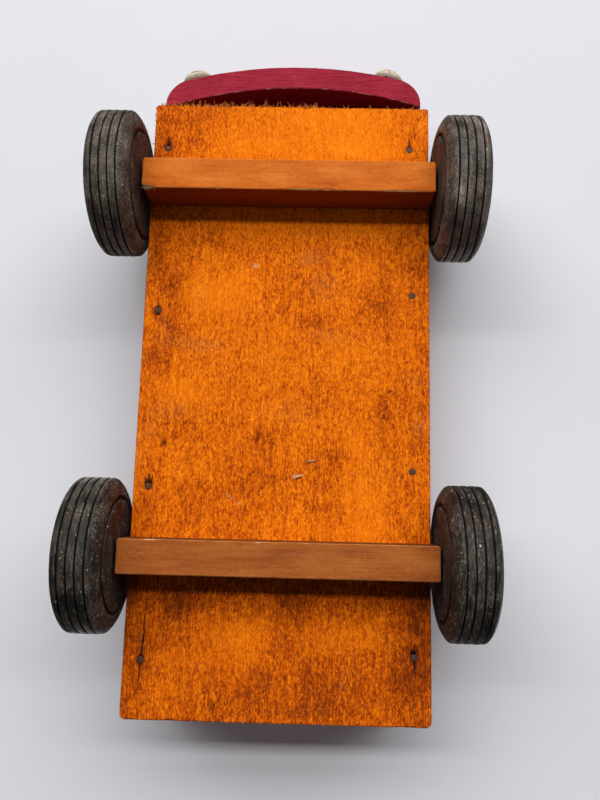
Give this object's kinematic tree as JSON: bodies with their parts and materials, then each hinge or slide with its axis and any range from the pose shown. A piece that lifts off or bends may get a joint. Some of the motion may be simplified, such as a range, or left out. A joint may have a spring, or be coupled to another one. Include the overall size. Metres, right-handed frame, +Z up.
{
  "type": "wooden toy lorry",
  "caption": "Wooden toy lorry with an open box body, a curved nose with domed headlights, and turned wheels that spin on screws in cross blocks.",
  "frame": {"origin": "on the ground under the centre of the bounding box", "axes": "+Z up from the ground the wheels stand on; the nose points along -Y; +X is the lorry's left side, and the wheels turn about X"},
  "size_m": [0.213, 0.3492, 0.098],
  "materials": {
    "plywood_stained": "orange stain, satin, mottled",
    "hardwood_front": "varnished hardwood, satin",
    "hardwood_rear": "varnished hardwood, satin, darker",
    "box_paint": "dark red paint, satin, worn",
    "nose_paint": "dark red paint, satin",
    "wheel_black": "black stain, matt, worn",
    "dome_steel": "dull steel, tarnished",
    "nail_steel": "dull grey steel",
    "nail_rust": "rusty steel",
    "screw_steel": "dull steel"
  },
  "bodies": {
    "root": {"chassis_board": "plywood_stained", "axle_block_front": "hardwood_front", "axle_block_rear": "hardwood_rear", "side_board_left": "box_paint", "side_board_right": "box_paint", "tail_board": "box_paint", "front_board": "box_paint", "nose_panel": "nose_paint", "nose_top_plate": "nose_paint", "headlight_left": "dome_steel", "headlight_right": "dome_steel", "chassis_nails_left": "nail_steel", "chassis_nails_right": "nail_rust", "block_nails_front": "nail_steel", "block_nails_rear": "nail_steel", "tail_board_nails": "nail_steel", "front_board_nails": "nail_steel", "nose_nails": "nail_steel", "axle_screw_front_left": "screw_steel", "axle_washer_front_left": "screw_steel", "axle_screw_front_right": "screw_steel", "axle_washer_front_right": "screw_steel", "axle_screw_rear_left": "screw_steel", "axle_washer_rear_left": "screw_steel", "axle_screw_rear_right": "screw_steel", "axle_washer_rear_right": "screw_steel"},
    "wheel_front_left_body": {"wheel_front_left": "wheel_black"},
    "wheel_front_right_body": {"wheel_front_right": "wheel_black"},
    "wheel_rear_left_body": {"wheel_rear_left": "wheel_black"},
    "wheel_rear_right_body": {"wheel_rear_right": "wheel_black"}
  },
  "joints": [
    {"name": "wheel_front_left_spin", "type": "hinge", "parent": "root", "child": "wheel_front_left_body", "pos_m": [0.0881, -0.09431, 0.037], "axis": [1, 0, 0], "continuous": true},
    {"name": "wheel_front_right_spin", "type": "hinge", "parent": "root", "child": "wheel_front_right_body", "pos_m": [-0.0881, -0.09431, 0.037], "axis": [1, 0, 0], "continuous": true},
    {"name": "wheel_rear_left_spin", "type": "hinge", "parent": "root", "child": "wheel_rear_left_body", "pos_m": [0.089, 0.09659, 0.037], "axis": [1, 0, 0], "continuous": true},
    {"name": "wheel_rear_right_spin", "type": "hinge", "parent": "root", "child": "wheel_rear_right_body", "pos_m": [-0.089, 0.09659, 0.037], "axis": [1, 0, 0], "continuous": true}
  ]
}
